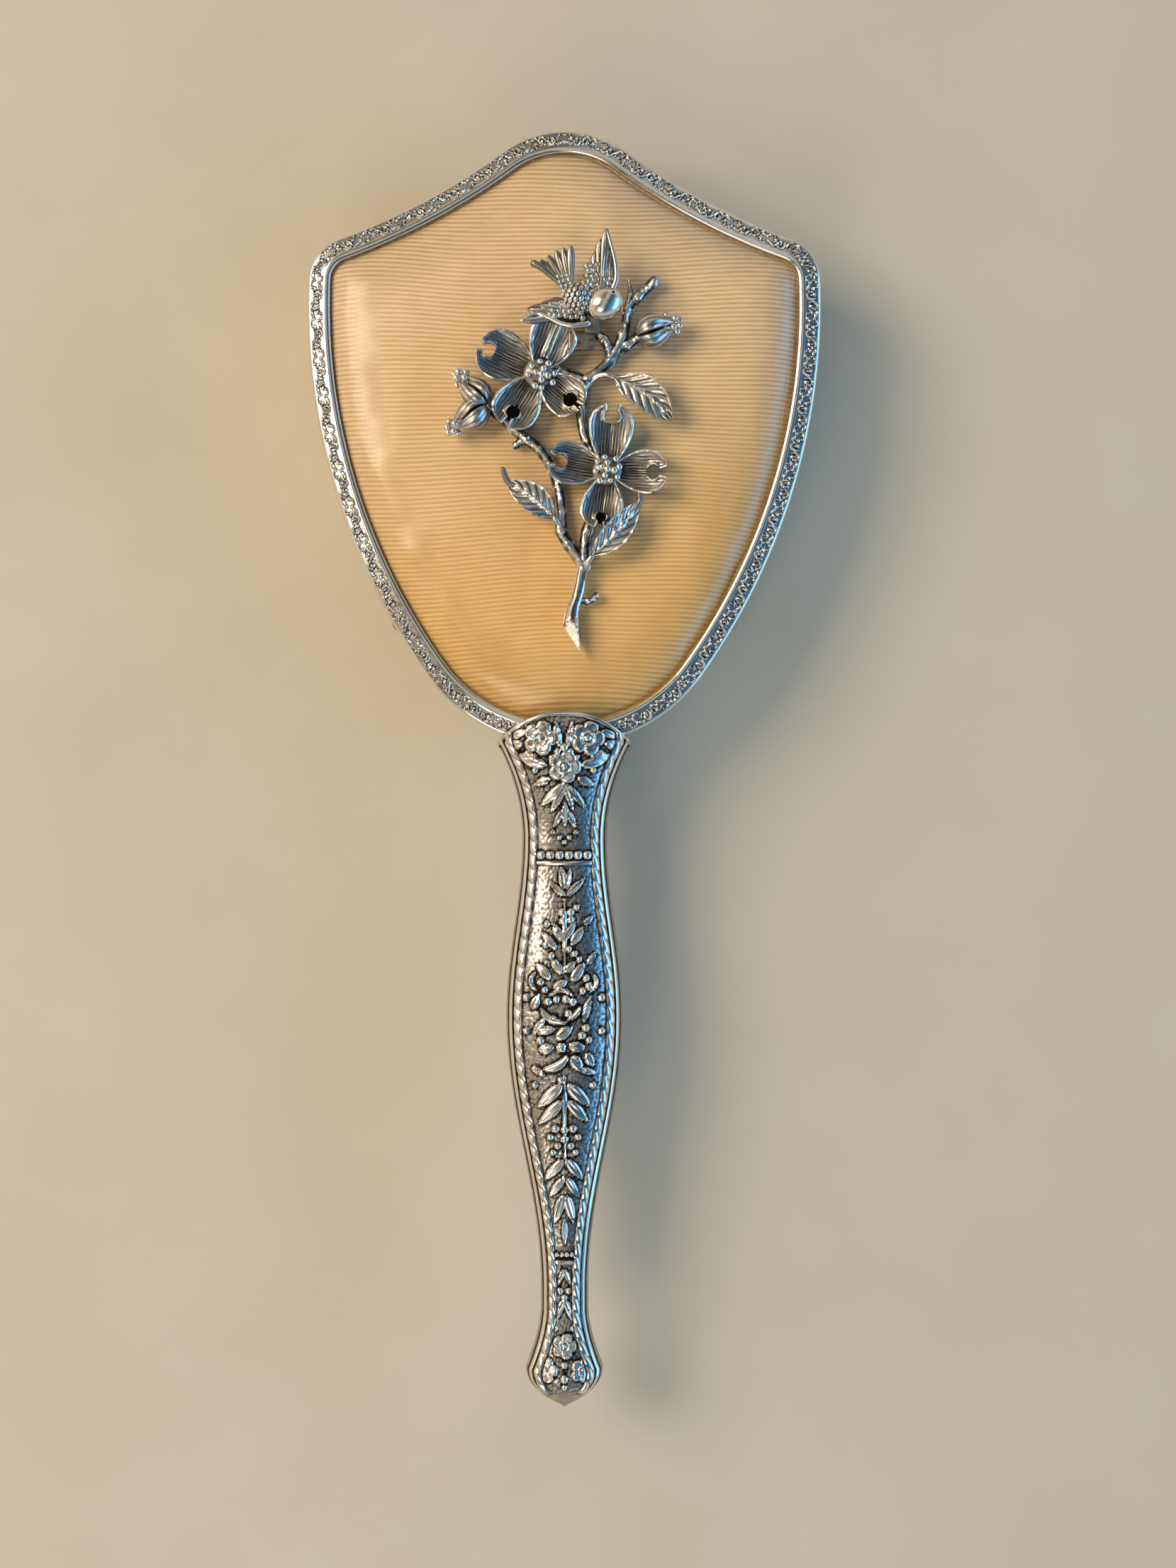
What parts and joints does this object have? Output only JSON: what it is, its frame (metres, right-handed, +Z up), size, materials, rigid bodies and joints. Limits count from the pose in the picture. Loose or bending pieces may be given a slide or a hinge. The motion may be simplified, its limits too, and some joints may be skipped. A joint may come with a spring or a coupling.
{
  "type": "hairbrush",
  "caption": "Dresser-set hairbrush: shield-shaped silver head with ribbed fabric under a clear domed window, cast bird-and-blossom spray, bristle tufts and a floral relief handle.",
  "frame": {"origin": "centre of the part's footprint, on the surface that the bristle tips rest on", "axes": "+Z up out of the decorated back, +Y along the handle towards the head's crown, +X to the right seen from the decorated back with the head up"},
  "size_m": [0.097, 0.24, 0.0395],
  "materials": {
    "silver_plate": "polished silver plate on stamped brass, recesses darkened",
    "white_metal": "cast white metal with an antiqued silver finish",
    "clear_acetate": "clear moulded sheet, slightly yellowed",
    "ribbed_faille": "peach-gold ribbed woven cloth",
    "pressed_card": "pressed card former",
    "tinplate": "plain tinplate",
    "ivory_plastic": "moulded ivory plastic",
    "nylon_bristle": "pale nylon filament",
    "steel_wire": "drawn steel wire",
    "brass_strip": "plain rolled brass",
    "beech_core": "turned plain wood"
  },
  "bodies": {
    "root": {"head_frame": "silver_plate", "handle_front_shell": "silver_plate", "handle_rear_shell": "silver_plate", "spray_stem": "white_metal", "upper_flower": "white_metal", "lower_flower": "white_metal", "upper_stamens": "white_metal", "lower_stamens": "white_metal", "bird_body": "white_metal", "bird_tail": "white_metal", "bird_wing_upper": "white_metal", "bird_wing_lower": "white_metal", "bird_bracket": "white_metal", "leaf_right": "white_metal", "leaf_left": "white_metal", "leaf_lower": "white_metal", "bud_right": "white_metal", "bud_left_upper": "white_metal", "bud_left_lower": "white_metal", "window_dome": "clear_acetate", "fabric_panel": "ribbed_faille", "former_card": "pressed_card", "backing_plate": "tinplate", "bristle_block": "ivory_plastic", "tuft_row_01": "nylon_bristle", "tuft_row_02": "nylon_bristle", "tuft_row_03": "nylon_bristle", "tuft_row_04": "nylon_bristle", "tuft_row_05": "nylon_bristle", "tuft_row_06": "nylon_bristle", "tuft_row_07": "nylon_bristle", "tuft_row_08": "nylon_bristle", "tuft_row_09": "nylon_bristle", "tuft_row_10": "nylon_bristle", "tuft_row_11": "nylon_bristle", "tuft_row_12": "nylon_bristle", "tuft_row_13": "nylon_bristle", "tuft_row_14": "nylon_bristle", "tuft_row_15": "nylon_bristle", "tuft_anchors": "steel_wire", "side_brads": "steel_wire", "push_nuts": "steel_wire", "tang": "brass_strip", "tang_rivets": "brass_strip", "handle_core": "beech_core"}
  },
  "joints": []
}
